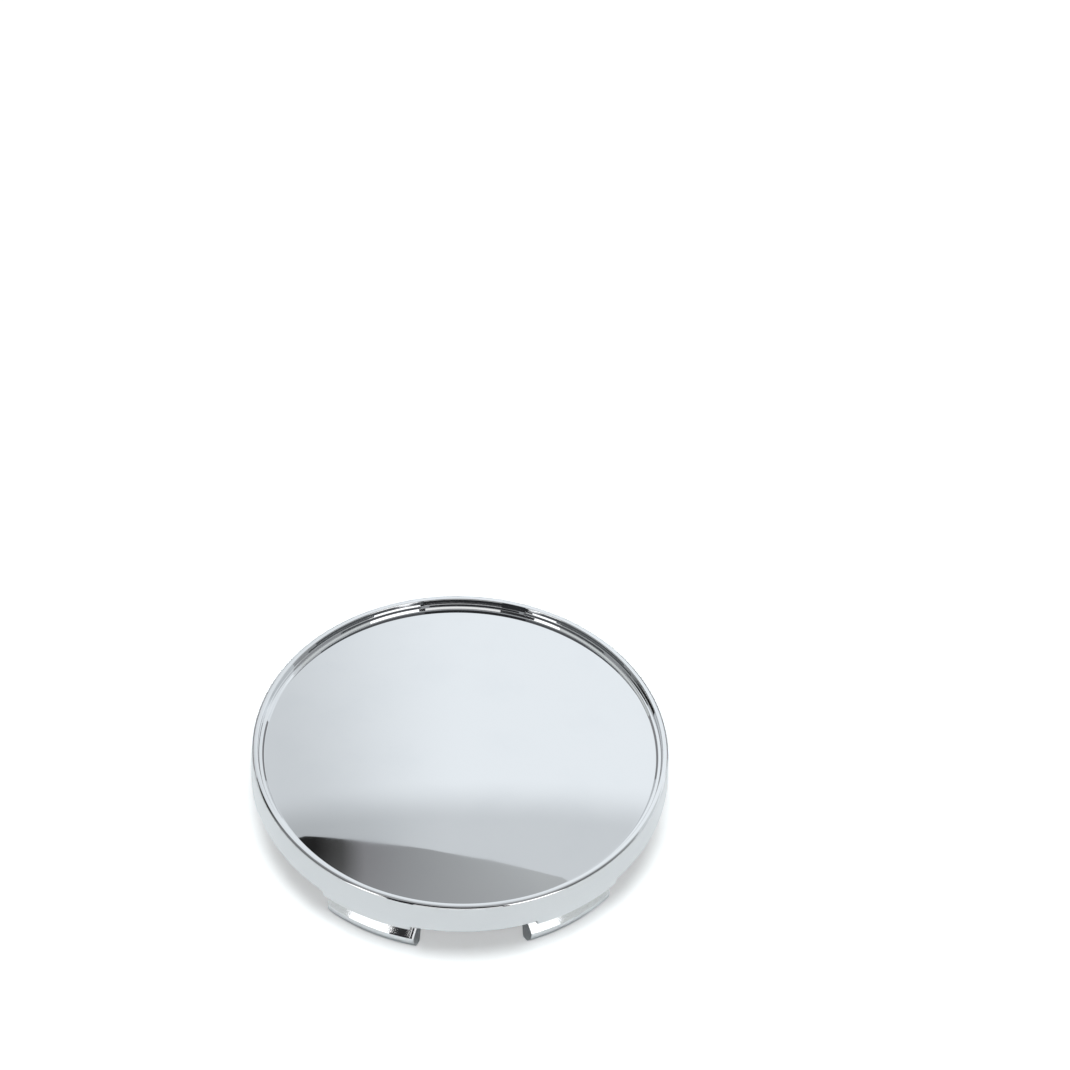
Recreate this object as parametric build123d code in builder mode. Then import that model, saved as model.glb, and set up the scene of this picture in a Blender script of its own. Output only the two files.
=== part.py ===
"""Wheel centre cap: a plated snap-in cap with six barbed clips and an open wire ring that springs them.

Millimetres, +Z towards the show face. The cap stands on its clip tips at z = 0 with its axis on Z,
and the first clip is centred on +X.
"""

import os
from math import atan, cos, pi, sqrt

from build123d import *

os.makedirs("parts", exist_ok=True)

# Skirt and raised rim
cap_diameter = 60.0
skirt_height = 5.5
skirt_wall = 1.8
back_outer_round = 1.0
back_inner_round = 0.5
rim_width = 1.0
rim_outer_round = 0.25
rim_inner_round = 0.12

# Two steps from the rim down to the domed show face
upper_step_drop = 0.95
upper_step_draft = 0.12
ledge_width = 0.58
lower_step_drop = 0.36
lower_step_draft = 0.24
step_round = 0.1
dome_rise = 1.3

# Flat-bottomed recess in the back, under a wall that is thinnest at the dome's edge
face_wall = 2.1
recess_round = 0.4

# Six snap clips, each under a square-edged pad on the skirt
clip_count = 6
clip_width = 13.4
clip_reach = 6.2
clip_inner_diameter = 51.6
clip_inner_taper = 1.1
clip_root_round = 0.7
barb_diameter = 57.6
barb_overhang = 1.0
barb_back_rise = 1.0
barb_land = 1.0
barb_round = 0.25
neck_round = 0.3
nose_round = 1.5
lead_in_width = 0.9
lead_in_height = 2.0
tip_outer_round = 0.45
tip_inner_round = 0.25
end_bevel = 0.5
bevel_margin = 0.4
pad_proud = 0.05
pad_setback = 0.03

# Open wire ring that springs the clips outwards, and the bead that keeps it in
wire_diameter = 1.7
ring_drop = 1.4
ring_clearance = 0.05
ring_gap = 3.5
wire_end_round = 0.3
bead_clearance = 0.1
bead_length = 0.75
bead_height = 0.35
bead_crest = 0.25

# Heights, from the clip tips upwards
back_z = clip_reach
pad_z = back_z - pad_proud
rim_z = back_z + skirt_height
ledge_z = rim_z - upper_step_drop
face_edge_z = ledge_z - lower_step_drop
face_apex_z = face_edge_z + dome_rise
recess_z = face_edge_z - face_wall
weld_z = recess_z + face_wall / 2
barb_top_z = lead_in_height + barb_land
neck_low_z = barb_top_z + barb_back_rise
bevel_top_z = pad_z - clip_root_round

# Radii, from the skirt inwards
outer_radius = cap_diameter / 2
skirt_inner_radius = outer_radius - skirt_wall
rim_inner_radius = outer_radius - rim_width
ledge_outer_radius = rim_inner_radius - upper_step_draft
ledge_inner_radius = ledge_outer_radius - ledge_width
face_radius = ledge_inner_radius - lower_step_draft
pad_radius = outer_radius - pad_setback
barb_radius = barb_diameter / 2
neck_radius = barb_radius - barb_overhang
tip_outer_radius = barb_radius - lead_in_width
clip_inner_radius = clip_inner_diameter / 2

# The show face is part of a sphere
dome_radius = (face_radius**2 + dome_rise**2) / (2 * dome_rise)
dome_mid_radius = face_radius / 2
dome_mid_z = face_apex_z - dome_radius + sqrt(dome_radius**2 - dome_mid_radius**2)

# The clips' inner faces lean outwards towards the tips
clip_lean = atan(clip_inner_taper / recess_z)
clip_half = clip_width / 2


def clip_inner_at(height):
    """Radius of a clip's inner face at a height above the tips."""
    return clip_inner_radius + clip_inner_taper * (recess_z - height) / recess_z


# The ring rests on the clips' inner faces, and the bead starts just under it
wire_radius = wire_diameter / 2
ring_z = back_z - ring_drop
ring_radius = clip_inner_at(ring_z) - (wire_radius + ring_clearance) / cos(clip_lean)
ring_gap_angle = 360 * ring_gap / (2 * pi * ring_radius)
bead_top_z = ring_z - wire_radius - bead_clearance
bead_low_z = bead_top_z - bead_length
bead_slope = (bead_length - bead_crest) / 2
bead_radius = clip_inner_at(bead_top_z) - bead_height


def corners(section, *points):
    """The corners of a section that lie at the given radii and heights."""
    return [section.vertices().sort_by_distance((radius, height, 0))[0] for radius, height in points]


def clip_end_x(radius):
    """Distance of a clip's end corner from the axis, seen along the clip's width."""
    return sqrt(radius**2 - clip_half**2)


# Three-cornered cutter that follows a clip's outer outline down one end and across its tip
with BuildPart() as end_cut:
    with BuildLine(Plane.XZ.offset(-clip_half)) as end_outline:
        Polyline(
            (clip_end_x(neck_radius), bevel_top_z),
            (clip_end_x(neck_radius), neck_low_z),
            (clip_end_x(barb_radius), barb_top_z),
            (clip_end_x(barb_radius), lead_in_height),
            (clip_end_x(tip_outer_radius), 0),
            (clip_end_x(clip_inner_radius), 0),
        )
    with BuildSketch(Plane.XY.offset(bevel_top_z)):
        with BuildLine():
            Polyline(
                (clip_end_x(neck_radius) + bevel_margin, clip_half + bevel_margin),
                (clip_end_x(neck_radius) + bevel_margin, clip_half - end_bevel - bevel_margin),
                (clip_end_x(neck_radius) - end_bevel - bevel_margin, clip_half + bevel_margin),
                close=True,
            )
        make_face()
    sweep(path=end_outline.wire(), transition=Transition.RIGHT)

# One barbed clip with its pad, turned as a ring and then trimmed to its width
with BuildPart() as clip:
    with BuildSketch(Plane.YZ) as clip_section:
        with BuildLine():
            Polyline(
                (clip_inner_at(weld_z), weld_z),
                (clip_inner_at(bead_top_z), bead_top_z),
                (bead_radius, bead_top_z - bead_slope),
                (bead_radius, bead_low_z + bead_slope),
                (clip_inner_at(bead_low_z), bead_low_z),
                (clip_inner_at(0), 0),
                (tip_outer_radius, 0),
                (barb_radius, lead_in_height),
                (barb_radius, barb_top_z),
                (neck_radius, neck_low_z),
                (neck_radius, pad_z),
                (pad_radius, pad_z),
                (pad_radius, weld_z),
                close=True,
            )
        make_face()
        fillet(corners(clip_section, (clip_inner_at(0), 0)), radius=tip_inner_round)
        fillet(corners(clip_section, (tip_outer_radius, 0)), radius=tip_outer_round)
        fillet(corners(clip_section, (barb_radius, lead_in_height)), radius=nose_round)
        fillet(corners(clip_section, (barb_radius, barb_top_z)), radius=barb_round)
        fillet(corners(clip_section, (neck_radius, neck_low_z)), radius=neck_round)
        fillet(corners(clip_section, (neck_radius, pad_z)), radius=clip_root_round)
    revolve(axis=Axis.Z)

    # Parallel ends, bevelled along the outline from under the pad to the tip
    with BuildSketch(Plane.YZ):
        Rectangle(clip_width, weld_z, align=(Align.CENTER, Align.MIN))
    extrude(amount=outer_radius, mode=Mode.INTERSECT)
    add(end_cut.part, mode=Mode.SUBTRACT)
    add(mirror(end_cut.part, about=Plane.XZ), mode=Mode.SUBTRACT)

# The moulded cap: skirt, stepped rim, domed face, pads and clips in one piece
with BuildPart() as cap_body:
    with BuildSketch(Plane.YZ) as cap_section:
        with BuildLine():
            Polyline(
                (0, face_apex_z),
                (0, recess_z),
                (skirt_inner_radius, recess_z),
                (skirt_inner_radius, back_z),
                (outer_radius, back_z),
                (outer_radius, rim_z),
                (rim_inner_radius, rim_z),
                (ledge_outer_radius, ledge_z),
                (ledge_inner_radius, ledge_z),
                (face_radius, face_edge_z),
            )
            ThreePointArc((face_radius, face_edge_z), (dome_mid_radius, dome_mid_z), (0, face_apex_z))
        make_face()
        fillet(corners(cap_section, (skirt_inner_radius, recess_z)), radius=recess_round)
        fillet(corners(cap_section, (skirt_inner_radius, back_z)), radius=back_inner_round)
        fillet(corners(cap_section, (outer_radius, back_z)), radius=back_outer_round)
        fillet(corners(cap_section, (outer_radius, rim_z)), radius=rim_outer_round)
        fillet(corners(cap_section, (rim_inner_radius, rim_z)), radius=rim_inner_round)
        steps = corners(
            cap_section,
            (ledge_outer_radius, ledge_z),
            (ledge_inner_radius, ledge_z),
            (face_radius, face_edge_z),
        )
        fillet(steps, radius=step_round)
    revolve(axis=Axis.Z)
    with PolarLocations(0, clip_count):
        add(clip.part)

# The wire ring, with its gap behind the first clip
with BuildPart() as retaining_ring:
    with BuildSketch(Plane.XZ.rotated((0, 0, ring_gap_angle / 2))):
        with Locations((ring_radius, ring_z)):
            Circle(wire_radius)
    revolve(axis=Axis.Z, revolution_arc=360 - ring_gap_angle)
    wire_ends = retaining_ring.faces().filter_by(GeomType.PLANE).edges()
    fillet(wire_ends, radius=wire_end_round)

cap_body.part.label = "cap_body"
retaining_ring.part.label = "retaining_ring"
export_step(cap_body.part, "parts/cap_body.step")
export_step(retaining_ring.part, "parts/retaining_ring.step")
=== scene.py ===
"""Wheel centre cap: mirror-plated cap on its clips, with the wire ring inside, in a plain light studio."""

from functools import cached_property
from math import atan2, cos, pi, radians, sin, tan

import bmesh
import bpy
from mathutils import Matrix, Quaternion, Vector


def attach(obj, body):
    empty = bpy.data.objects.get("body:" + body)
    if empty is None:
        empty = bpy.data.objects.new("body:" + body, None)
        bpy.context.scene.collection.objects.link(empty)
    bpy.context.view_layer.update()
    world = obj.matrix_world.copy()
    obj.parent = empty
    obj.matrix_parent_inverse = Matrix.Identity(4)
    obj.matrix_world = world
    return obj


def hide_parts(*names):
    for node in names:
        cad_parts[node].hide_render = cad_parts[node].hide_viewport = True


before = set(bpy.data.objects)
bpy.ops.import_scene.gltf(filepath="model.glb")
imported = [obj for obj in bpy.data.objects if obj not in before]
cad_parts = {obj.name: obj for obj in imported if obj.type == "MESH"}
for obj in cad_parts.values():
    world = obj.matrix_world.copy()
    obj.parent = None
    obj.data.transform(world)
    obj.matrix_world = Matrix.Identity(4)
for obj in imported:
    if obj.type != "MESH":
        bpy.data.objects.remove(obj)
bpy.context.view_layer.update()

MM = 0.001

# Heights of the cap in millimetres, from the clip tips upwards
NOSE = 1.75
BARB = 2.65
BEAD_TOP = 3.85
NECK_LOW = 4.0
PAD = 6.15
BACK = 6.2
PAD_TOP = 7.3
ROOT_LOW = 7.6
RECESS = 8.29
CLIP_ROOT = 8.9
FACE_EDGE = 10.39
LEDGE = 10.75
DOME_TOP = 11.69
RIM = 11.7

# Radii: the skirt leans in from the back to the rim, and its radius is that of the corner before its round
SKIRT = 30.04
PAD_EDGE = 29.965
PAD_TUCK = 29.93
RIM_OUTER = 29.75
ROOT_OUTER = 29.0
RIM_INNER = 28.87
BARB_OUTER = 28.8
LEDGE_OUTER = 28.77
LEDGE_INNER = 28.3
RECESS_WALL = 28.2
FACE = 28.06
TIP_OUTER = 27.9
NECK = 27.8
CLIP_MIDDLE = 27.0
TIP_INNER = 26.9
BEAD = 26.04
ROOT_INNER = 25.72

# Snap clips
CLIP_COUNT = 6
CLIP_HALF = 6.7
PAD_ROUND = 0.7
END_BEVEL = 0.5
EDGE_ROUND = 0.12
BEAD_STEP = 0.25

# Wire ring
RING_RADIUS = 25.355
RING_HEIGHT = 4.8
WIRE = 0.85
WIRE_END_ROUND = 0.3
RING_GAP = radians(7.91)

# The turned cap from the recess to the face's edge, as radius, height and corner round
CAP_OUTLINE = [
    (0, RECESS, 0),
    (RECESS_WALL, RECESS, 0.4),
    (RECESS_WALL, BACK, 0.5),
    (SKIRT, BACK, 1.0),
    (RIM_OUTER, RIM, 0.42),
    (RIM_INNER, RIM, 0.12),
    (LEDGE_OUTER, LEDGE, 0.1),
    (LEDGE_INNER, LEDGE, 0.1),
    (FACE, FACE_EDGE, 0.1),
]


def inner_face(height):
    """Radius of a clip's inner face, which leans outwards towards the tip."""
    return TIP_INNER + (ROOT_INNER - TIP_INNER) * height / CLIP_ROOT


# One clip in the same way: down its inner face, round the tip, and up to the pad and the hidden root
BEAD_LOW = BEAD_TOP - 3 * BEAD_STEP
CLIP_OUTLINE = [
    (ROOT_INNER, CLIP_ROOT, 0),
    (inner_face(BEAD_TOP), BEAD_TOP, 0),
    (BEAD, BEAD_TOP - BEAD_STEP, 0),
    (BEAD, BEAD_LOW + BEAD_STEP, 0),
    (inner_face(BEAD_LOW), BEAD_LOW, 0),
    (TIP_INNER, 0, 0),
    (TIP_OUTER, 0, 0.55),
    (BARB_OUTER, NOSE, 1.5),
    (BARB_OUTER, BARB, 0),
    (NECK, NECK_LOW, 0.3),
    (NECK, PAD, PAD_ROUND),
    (PAD_EDGE, PAD, 0),
    (PAD_TUCK, PAD_TOP, 0),
    (ROOT_OUTER, ROOT_LOW, 0),
    (ROOT_OUTER, CLIP_ROOT, 0),
]


def outline(points, closed):
    """A thin outline with sharp corners, standing on the XZ plane, and its corner points."""
    shape = bmesh.new()
    spots = [shape.verts.new((radius, 0, height)) for radius, height, corner in points]
    ends = spots[1:] + spots[:1] if closed else spots[1:]
    for first, second in zip(spots, ends):
        shape.edges.new((first, second))
    return shape, spots


def round_corners(shape, spots, points, segments):
    """Rounds the corners of an outline that have a round."""
    for spot, (radius, height, corner) in zip(spots, points):
        if corner:
            first, second = [edge.other_vert(spot).co - spot.co for edge in spot.link_edges]
            offset = corner / tan(first.angle(second) / 2)
            bmesh.ops.bevel(
                shape, geom=[spot], offset=offset, offset_type="OFFSET", segments=segments, profile=0.5,
                affect="VERTICES", material=-1, clamp_overlap=False,
            )


def bevel_edges(shape, edges, offset, segments):
    """Takes the sharpness off some edges of a shape."""
    bmesh.ops.bevel(
        shape, geom=edges, offset=offset, offset_type="OFFSET", segments=segments, profile=0.5,
        affect="EDGES", material=-1, clamp_overlap=True,
    )


def everything(shape):
    """All points, edges and faces of a shape."""
    return shape.verts[:] + shape.edges[:] + shape.faces[:]


def spin(shape, geom, angle, steps, cent=(0, 0, 0), axis=(0, 0, 1), **options):
    """Sweeps geometry about an axis, by default the cap's own, and gives what the sweep ends on."""
    swept = bmesh.ops.spin(shape, geom=geom, angle=angle, steps=steps, cent=cent, axis=axis, **options)
    return swept["geom_last"]


def turn(shape, angle, axis):
    """Turns a whole shape about one of the axes."""
    bmesh.ops.rotate(shape, cent=(0, 0, 0), matrix=Matrix.Rotation(angle, 3, axis), verts=shape.verts)


def close_up(shape):
    """Merges doubled points and turns every face outwards."""
    bmesh.ops.remove_doubles(shape, verts=shape.verts, dist=1e-4)
    bmesh.ops.recalc_face_normals(shape, faces=shape.faces)


def turned_cap():
    """Skirt, stepped rim, domed face and back recess, turned in one piece."""
    shape, spots = outline(CAP_OUTLINE, closed=False)
    rise = DOME_TOP - FACE_EDGE
    dome_radius = (FACE**2 + rise**2) / (2 * rise)
    dome_centre = DOME_TOP - dome_radius
    sweep = atan2(FACE, FACE_EDGE - dome_centre)
    spin(shape, [spots[-1]], sweep, steps=28, cent=(0, 0, dome_centre), axis=(0, -1, 0))
    round_corners(shape, spots, CAP_OUTLINE, segments=8)
    spin(shape, everything(shape), 2 * pi, steps=360, use_merge=True)
    close_up(shape)
    return shape


def snap_clips():
    """One barbed clip with its pad, its ends cut parallel and bevelled, repeated round the cap."""
    shape, spots = outline(CLIP_OUTLINE, closed=True)
    round_corners(shape, spots, CLIP_OUTLINE, segments=6)

    # Fine steps along the clip and one long step past each end, which the cuts then trim
    middle = radians(11.5)
    end = radians(5)
    turn(shape, -middle - end, "Z")
    last = spin(shape, everything(shape), end, steps=1)
    last = spin(shape, last, 2 * middle, steps=20)
    spin(shape, last, end, steps=1)
    for side in (1, -1):
        bmesh.ops.bisect_plane(
            shape, geom=everything(shape), dist=1e-5, plane_co=(0, side * CLIP_HALF, 0),
            plane_no=(0, side, 0), clear_outer=True,
        )
    bmesh.ops.holes_fill(shape, edges=[edge for edge in shape.edges if edge.is_boundary])
    close_up(shape)

    def on_outline(edge):
        """Whether an edge of an end face follows the clip's outer side, below the round under the pad."""
        flush = all(abs(abs(spot.co.y) - CLIP_HALF) < 1e-3 for spot in edge.verts)
        low = all(spot.co.z < PAD - PAD_ROUND + 0.01 for spot in edge.verts)
        return flush and low and max(spot.co.xy.length for spot in edge.verts) > CLIP_MIDDLE

    bevel_edges(shape, [edge for edge in shape.edges if on_outline(edge)], END_BEVEL, segments=1)
    sharp = [edge for edge in shape.edges if edge.calc_face_angle(0) > radians(25)]
    bevel_edges(shape, sharp, EDGE_ROUND, segments=3)
    close_up(shape)
    pitch = 2 * pi / CLIP_COUNT
    spin(shape, everything(shape), pitch * (CLIP_COUNT - 1), steps=CLIP_COUNT - 1, use_duplicate=True)
    return shape


def wire_ring():
    """Round wire bent to an open ring, its cut ends rounded, with the gap on +X."""
    shape = bmesh.new()
    bmesh.ops.create_circle(shape, cap_ends=True, radius=WIRE, segments=32)
    turn(shape, pi / 2, "X")
    bmesh.ops.translate(shape, vec=(RING_RADIUS, 0, RING_HEIGHT), verts=shape.verts)
    turn(shape, RING_GAP / 2, "Z")
    spin(shape, everything(shape), 2 * pi - RING_GAP, steps=240)
    close_up(shape)
    cut_ends = [edge for edge in shape.edges if edge.calc_face_angle(0) > radians(60)]
    bevel_edges(shape, cut_ends, WIRE_END_ROUND, segments=6)
    return shape


def piece(name, node, slot, material, *shapes):
    """A finished piece of the cap that stands for one CAD node."""
    whole = bmesh.new()
    for shape in shapes:
        part = bpy.data.meshes.new(name)
        shape.to_mesh(part)
        shape.free()
        whole.from_mesh(part)
        bpy.data.meshes.remove(part)
    mesh = bpy.data.meshes.new(name)
    whole.to_mesh(mesh)
    whole.free()
    mesh.shade_smooth()
    mesh.set_sharp_from_angle(angle=radians(35))
    made = bpy.data.objects.new(name, mesh)
    bpy.context.scene.collection.objects.link(made)

    # Even shading on the flats is worked out in millimetres, because in metres it has no effect
    made.modifiers.new("even_flats", "WEIGHTED_NORMAL").keep_sharp = True
    evened = made.evaluated_get(bpy.context.evaluated_depsgraph_get())
    made.data = bpy.data.meshes.new_from_object(evened)
    made.modifiers.clear()
    made.data.transform(Matrix.Scale(MM, 4))
    made.data.materials.append(material)
    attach(made, "root")
    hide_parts(node)


class Value:
    """A shader socket that takes part in arithmetic: every operation adds a Math node."""

    def __init__(self, finish, socket):
        self.finish = finish
        self.socket = socket

    def __add__(self, other):
        return self.finish.maths("ADD", self, other)

    def __radd__(self, other):
        return self.finish.maths("ADD", other, self)

    def __sub__(self, other):
        return self.finish.maths("SUBTRACT", self, other)

    def __rsub__(self, other):
        return self.finish.maths("SUBTRACT", other, self)

    def __mul__(self, other):
        return self.finish.maths("MULTIPLY", self, other)

    def __rmul__(self, other):
        return self.finish.maths("MULTIPLY", other, self)

    def __truediv__(self, other):
        return self.finish.maths("DIVIDE", self, other)

    def __pow__(self, other):
        return self.finish.maths("POWER", self, other)

    def __abs__(self):
        return self.finish.maths("ABSOLUTE", self)

    def rise(self, low, high):
        """0 below low and 1 above high, with a smooth rise between them."""
        values = {"Value": self, "From Min": low, "From Max": high}
        return self.finish.node("ShaderNodeMapRange", {"interpolation_type": "SMOOTHSTEP"}, values)


class Finish:
    """A material or a world made of nodes, with Object coordinates in millimetres."""

    def __init__(self, owner, output="ShaderNodeOutputMaterial"):
        owner.use_nodes = True
        self.owner = owner
        self.tree = owner.node_tree
        self.tree.nodes.clear()
        self.output = self.tree.nodes.new(output)

    def node(self, kind, settings=None, values=None, out=0):
        """One node: its settings first, then the values or links of its sockets. Gives one output."""
        made = self.tree.nodes.new(kind)
        for name, setting in (settings or {}).items():
            if name == "stops":
                while len(made.color_ramp.elements) < len(setting):
                    made.color_ramp.elements.new(1.0)
                for element, (position, colour) in zip(made.color_ramp.elements, setting):
                    element.position = position
                    element.color = (*colour, 1.0)
            else:
                setattr(made, name, setting)
        for name, value in (values or {}).items():
            if isinstance(value, Value):
                self.tree.links.new(value.socket, made.inputs[name])
            else:
                made.inputs[name].default_value = value
        return Value(self, made.outputs[out])

    def maths(self, operation, *terms):
        """A Math node on one or two terms."""
        return self.node("ShaderNodeMath", {"operation": operation}, dict(enumerate(terms)))

    @cached_property
    def spot(self):
        """Object coordinates in millimetres, as a vector."""
        metres = self.node("ShaderNodeTexCoord", out="Object")
        return self.node("ShaderNodeVectorMath", {"operation": "SCALE"}, {0: metres, "Scale": 1 / MM})

    def axis(self, letter):
        """One Object coordinate in millimetres: X, Y or Z."""
        return self.node("ShaderNodeSeparateXYZ", None, {0: self.spot}, letter)

    def ray(self, kind):
        """1 where the surface is seen by rays of that kind, and 0 for other rays."""
        return self.node("ShaderNodeLightPath", out=f"Is {kind} Ray")

    def noise(self, place, scale, detail, roughness):
        """A cloudy pattern from 0 to 1."""
        values = {"Vector": place, "Scale": scale, "Detail": detail, "Roughness": roughness}
        return self.node("ShaderNodeTexNoise", None, values, "Fac")

    def mix(self, factor, first, second):
        """A colour between two colours."""
        return self.node("ShaderNodeMix", {"data_type": "RGBA"}, {"Factor": factor, 6: first, 7: second}, 2)

    def metal(self, tint, roughness, bump):
        """A bare metal surface."""
        values = {"Base Color": tint, "Metallic": 1.0, "Roughness": roughness, "Normal": bump}
        return self.show(self.node("ShaderNodeBsdfPrincipled", None, values))

    def emit(self, colour):
        """A surface that gives off light of its own."""
        return self.show(self.node("ShaderNodeEmission", None, {"Color": colour, "Strength": 1.0}))

    def show(self, shader):
        """Puts a shader on the surface and gives the finished material or world."""
        self.tree.links.new(shader.socket, self.output.inputs["Surface"])
        return self.owner


def mirror_plating():
    """Bright chrome on plastic: a mirror all over, dull on the recess floor and grainy behind the barbs."""
    chrome = Finish(bpy.data.materials.new("mirror_plating"))
    x, y, z = map(chrome.axis, "XYZ")
    radius = (x * x + y * y) ** 0.5
    angle = chrome.maths("ARCTAN2", y, x)
    pitch = 2 * pi / CLIP_COUNT
    from_clip = angle - chrome.maths("ROUND", angle / pitch) * pitch
    across = abs(radius * chrome.maths("SINE", from_clip))

    # Spark-eroded zone of each clip, between the barb and the pad, and the floor of the recess
    in_clip = 1 - across.rise(CLIP_HALF - END_BEVEL - 0.1, CLIP_HALF - END_BEVEL)
    on_neck = radius.rise(NECK - 0.4, NECK - 0.2)
    below_skirt = 1 - z.rise(PAD + 0.02, PAD + 0.08)
    above_barb = z.rise(BARB + 0.05, BARB + 0.2)
    eroded = in_clip * on_neck * below_skirt * above_barb
    coarse = eroded * (0.35 + 0.65 * z.rise(NECK_LOW - 0.1, NECK_LOW + 0.2))
    on_floor = 1 - abs(z - RECESS).rise(0.05, 0.15)

    # Faint smears and ripples of the plating, and the grain of the eroded zone
    smear = chrome.noise(chrome.spot, scale=0.11, detail=3.0, roughness=0.55).rise(0.42, 0.75)
    grain = chrome.noise(chrome.spot, scale=7.0, detail=3.0, roughness=0.6)
    ripple = chrome.noise(chrome.spot, scale=0.16, detail=1.0, roughness=0.4)
    bright = (0.786, 0.796, 0.808, 1)
    smeared = (0.770, 0.782, 0.796, 1)
    pitted = (0.42, 0.43, 0.44, 1)
    tint = chrome.mix(smear, bright, smeared)
    tint = chrome.mix(eroded * grain.rise(0.45, 0.75) * 0.5, tint, pitted)
    roughness = 0.018 + 0.02 * smear + 0.10 * on_floor + 0.06 * coarse
    relief = ripple * 0.004 + grain * coarse * 0.016
    bump = chrome.node("ShaderNodeBump", None, {"Strength": 1.0, "Distance": MM, "Height": relief})
    return chrome.metal(tint, roughness, bump)


def spring_wire():
    """Bright drawn steel wire with fine draw lines along it."""
    steel = Finish(bpy.data.materials.new("spring_wire"))
    x, y, z = map(steel.axis, "XYZ")
    radius = (x * x + y * y) ** 0.5
    section = steel.node("ShaderNodeCombineXYZ", None, {"X": radius, "Y": z, "Z": 0.0})
    lines = steel.noise(section, scale=9.0, detail=2.0, roughness=0.6)
    stain = steel.noise(steel.spot, scale=0.5, detail=3.0, roughness=0.6).rise(0.45, 0.75)
    clean = (0.66, 0.67, 0.69, 1)
    stained = (0.55, 0.56, 0.58, 1)
    tint = steel.mix(stain, clean, stained)
    roughness = 0.14 + 0.12 * lines + 0.08 * stain
    bump = steel.node("ShaderNodeBump", None, {"Strength": 0.4, "Distance": MM, "Height": lines * 0.02})
    return steel.metal(tint, roughness, bump)


def pale_floor():
    """Pale paper that keeps the cap's shadow and is white to the camera."""
    paper = Finish(bpy.data.materials.new("pale_floor"))
    matt = paper.node("ShaderNodeBsdfDiffuse", None, {"Color": (0.84, 0.88, 0.895, 1)})
    level = 0.42 * paper.ray("Camera") + 0.04 * paper.ray("Glossy")
    lift = paper.node("ShaderNodeEmission", None, {"Color": (1, 1, 1, 1), "Strength": level})
    return paper.show(paper.node("ShaderNodeAddShader", None, {0: matt, 1: lift}))


def white_wall(azimuth):
    """Light of the backdrop: dimmer towards its left end and above a line that falls to the right."""
    wall = Finish(bpy.data.materials.new("white_wall"))
    x, y, z = map(wall.axis, "XYZ")
    along = x * cos(radians(azimuth)) - y * sin(radians(azimuth))
    level = (0.731 + 0.269 * along.rise(-380, -120)) * (1 - 0.28 * (z + along * 0.4).rise(740, 870))
    return wall.emit(wall.mix(level, (0, 0, 0, 1), (0.993, 1.04, 1.076, 1)))


def dim_ceiling():
    """Light of the ceiling: an even grey overhead, and dark over the backdrop's left end."""
    roof = Finish(bpy.data.materials.new("dim_ceiling"))
    span = {"Value": roof.axis("X"), "From Min": -250, "From Max": 300}
    across = roof.node("ShaderNodeMapRange", None, span)
    stops = [
        (0.0, (0.02, 0.02, 0.02)),
        (0.12, (0.08, 0.08, 0.08)),
        (0.22, (0.26, 0.26, 0.27)),
        (0.4, (0.33, 0.34, 0.35)),
        (1.0, (0.54, 0.56, 0.57)),
    ]
    far_end = roof.node("ShaderNodeValToRGB", {"stops": stops}, {"Fac": across}, "Color")
    return roof.emit(roof.mix(roof.axis("Y").rise(600, 1150), (0.39, 0.40, 0.41, 1), far_end))


def glow(name, colour, top=None, height=None):
    """Light of a card: one colour all over, or changing to another up to a height in millimetres."""
    light = Finish(bpy.data.materials.new(name))
    tone = light.mix(light.axis("Z") / height, colour, top) if top else colour
    return light.emit(tone)


def even_sky():
    """Weak light from all round, stronger in the plating and white behind the floor."""
    sky = Finish(bpy.data.worlds.new("studio"), "ShaderNodeOutputWorld")
    level = 0.10 + 0.60 * sky.ray("Glossy") + sky.ray("Camera")
    values = {"Color": (0.96, 1.0, 1.0, 1), "Strength": level}
    return sky.show(sky.node("ShaderNodeBackground", None, values))


def around(azimuth, distance, height):
    """A point in the studio, in metres, at an azimuth in degrees from +Y towards +X."""
    return Vector((sin(radians(azimuth)) * distance, cos(radians(azimuth)) * distance, height))


def card(name, material, width, height, place, facing, solid=False):
    """A flat studio card, centred at a place and facing a point. Unless solid, only the plating shows it."""
    sheet = bmesh.new()
    bmesh.ops.create_grid(sheet, x_segments=1, y_segments=1, size=0.5)
    bmesh.ops.scale(sheet, vec=(width, height, 1), verts=sheet.verts)
    towards = (Vector(facing) - Vector(place)).to_track_quat("Z", "Y")
    bmesh.ops.rotate(sheet, cent=(0, 0, 0), matrix=towards.to_matrix(), verts=sheet.verts)
    bmesh.ops.translate(sheet, vec=place, verts=sheet.verts)
    mesh = bpy.data.meshes.new(name)
    sheet.to_mesh(mesh)
    sheet.free()
    mesh.materials.append(material)
    made = bpy.data.objects.new(name, mesh)
    bpy.context.scene.collection.objects.link(made)
    made.visible_camera = solid
    made.visible_diffuse = solid
    made.visible_shadow = solid


def screen(name, material, azimuth, distance, width, height, low=0.0):
    """A card that stands upright and faces the cap's axis, with its lower edge at a height."""
    middle = low + height / 2
    card(name, material, width, height, around(azimuth, distance, middle), (0, 0, middle))


piece("plated_cap", "cap_body", "plated_cap", mirror_plating(), turned_cap(), snap_clips())
piece("wire_ring", "retaining_ring", "spring_wire", spring_wire(), wire_ring())

# Floor, ceiling, and the backdrop on the far side, in metres
card("floor", pale_floor(), width=6.0, height=6.0, place=(0, 0, 0), facing=(0, 0, 1), solid=True)
card("ceiling", dim_ceiling(), width=8.0, height=3.0, place=(0, 0.4, 1.80), facing=(0, 0.4, 0))
backdrop_azimuth = 18
screen("backdrop", white_wall(backdrop_azimuth), backdrop_azimuth, distance=0.60, width=5.0, height=1.038)

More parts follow.
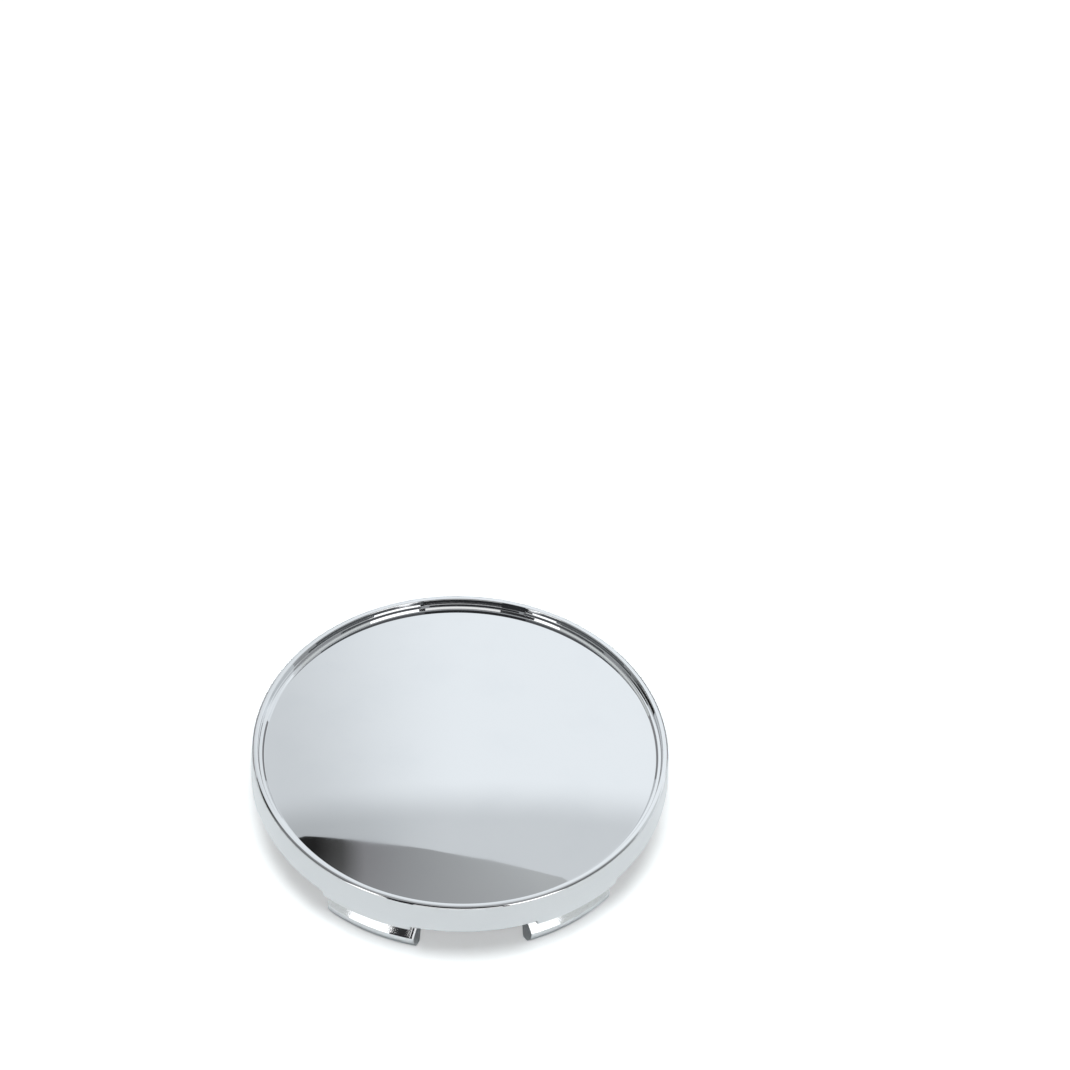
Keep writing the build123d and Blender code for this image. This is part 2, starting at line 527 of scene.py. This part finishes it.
# Two dim flags low down before the backdrop, which draw dark lines along the rim's steps
flag = glow("dim_flag", (0.32, 0.32, 0.33, 1), top=(0.28, 0.28, 0.29, 1), height=300)
for side, azimuth in (("right", 43), ("left", 318)):
    screen(f"{side}_flag", flag, azimuth, distance=0.45, width=0.26, height=0.27, low=0.01)

# Camera side: two dark cards, one above the other, and a white sheet before the lower one
shade = glow("camera_shade", (0.035, 0.036, 0.038, 1))
screen("camera_side", shade, azimuth=191.5, distance=0.50, width=0.59, height=1.49, low=0.22)
screen("camera_foot", shade, azimuth=188.5, distance=0.50, width=0.52, height=0.22)
sheet = glow("white_sheet", (0.95, 0.96, 0.97, 1), top=(1.0, 1.0, 1.0, 1), height=240)
screen("front_sheet", sheet, azimuth=184, distance=0.46, width=0.33, height=0.24)

# Beside the camera: dim walls high up, and a white box in front of each
dusk = glow("dim_room", (0.14, 0.145, 0.15, 1), top=(0.10, 0.105, 0.11, 1), height=1700)
box = glow("white_box", (1.8, 1.8, 1.8, 1), top=(2.0, 2.0, 2.0, 1), height=600)
for side, room_azimuth, box_azimuth, box_width in (("left", 250, 226, 0.212), ("right", 132, 148.5, 0.288)):
    screen(f"room_{side}", dusk, room_azimuth, distance=0.95, width=1.6, height=1.25, low=0.475)
    screen(f"{side}_box", box, box_azimuth, distance=0.60, width=box_width, height=0.50, low=0.11)

# Soft light over the camera for the floor, which the plating does not show
lamp = bpy.data.lights.new("soft_lamp", "AREA")
lamp.size = 0.7
lamp.energy = 17.3
stand = bpy.data.objects.new("soft_lamp", lamp)
stand.location = around(185, 0.20, 1.45)
stand.rotation_euler = (-stand.location).to_track_quat("-Z", "Y").to_euler()
stand.visible_glossy = False
bpy.context.scene.collection.objects.link(stand)
bpy.context.scene.world = even_sky()

# Camera above the front, with the part low in its view
picture_pixels = 1070
focal_pixels = 2800
lens = bpy.data.cameras.new("camera")
lens.sensor_width = 36.0
lens.lens = lens.sensor_width * focal_pixels / picture_pixels
lens.clip_start = 0.01
camera = bpy.data.objects.new("camera", lens)
camera.location = Vector((-23.64, -264.93, 312.38)) * MM
aim = Vector((15.69, 54.03, 0.0)) * MM
tilt = Quaternion((0, 0, 1), radians(3.12))
camera.rotation_mode = "QUATERNION"
camera.rotation_quaternion = (aim - camera.location).to_track_quat("-Z", "Y") @ tilt
bpy.context.scene.collection.objects.link(camera)
bpy.context.scene.camera = camera

bpy.context.scene.view_settings.view_transform = "Standard"
